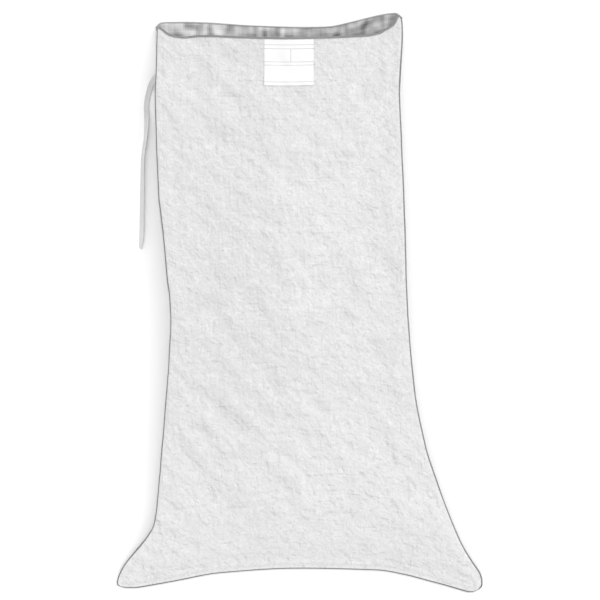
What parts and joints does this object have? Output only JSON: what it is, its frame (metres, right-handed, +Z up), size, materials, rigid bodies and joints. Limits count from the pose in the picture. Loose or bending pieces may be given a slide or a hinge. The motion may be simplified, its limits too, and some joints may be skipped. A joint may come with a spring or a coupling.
{
  "type": "woven polypropylene sack",
  "caption": "Empty white woven polypropylene sack lying flat, open at the mouth, with soft folded sides, a sewn bottom, a loose tie tape and a small blank label.",
  "frame": {"origin": "centre of the sack's bounding box on the floor it lies on, the tie tape left out", "axes": "+Y from the sewn bottom to the open mouth, +Z up through the front panel, +X to the right as the front panel is looked at"},
  "size_m": [0.5006, 0.7932, 0.0744],
  "materials": {
    "woven_cloth": "satin",
    "grey_thread": "matte",
    "white_thread": "matte",
    "tape_white": "satin",
    "label_white": "satin"
  },
  "bodies": {
    "root": {"sack_body": "woven_cloth", "mouth_hem_thread": "grey_thread", "bottom_seam_thread": "white_thread", "tie_tape": "tape_white", "label": "label_white"}
  },
  "joints": []
}
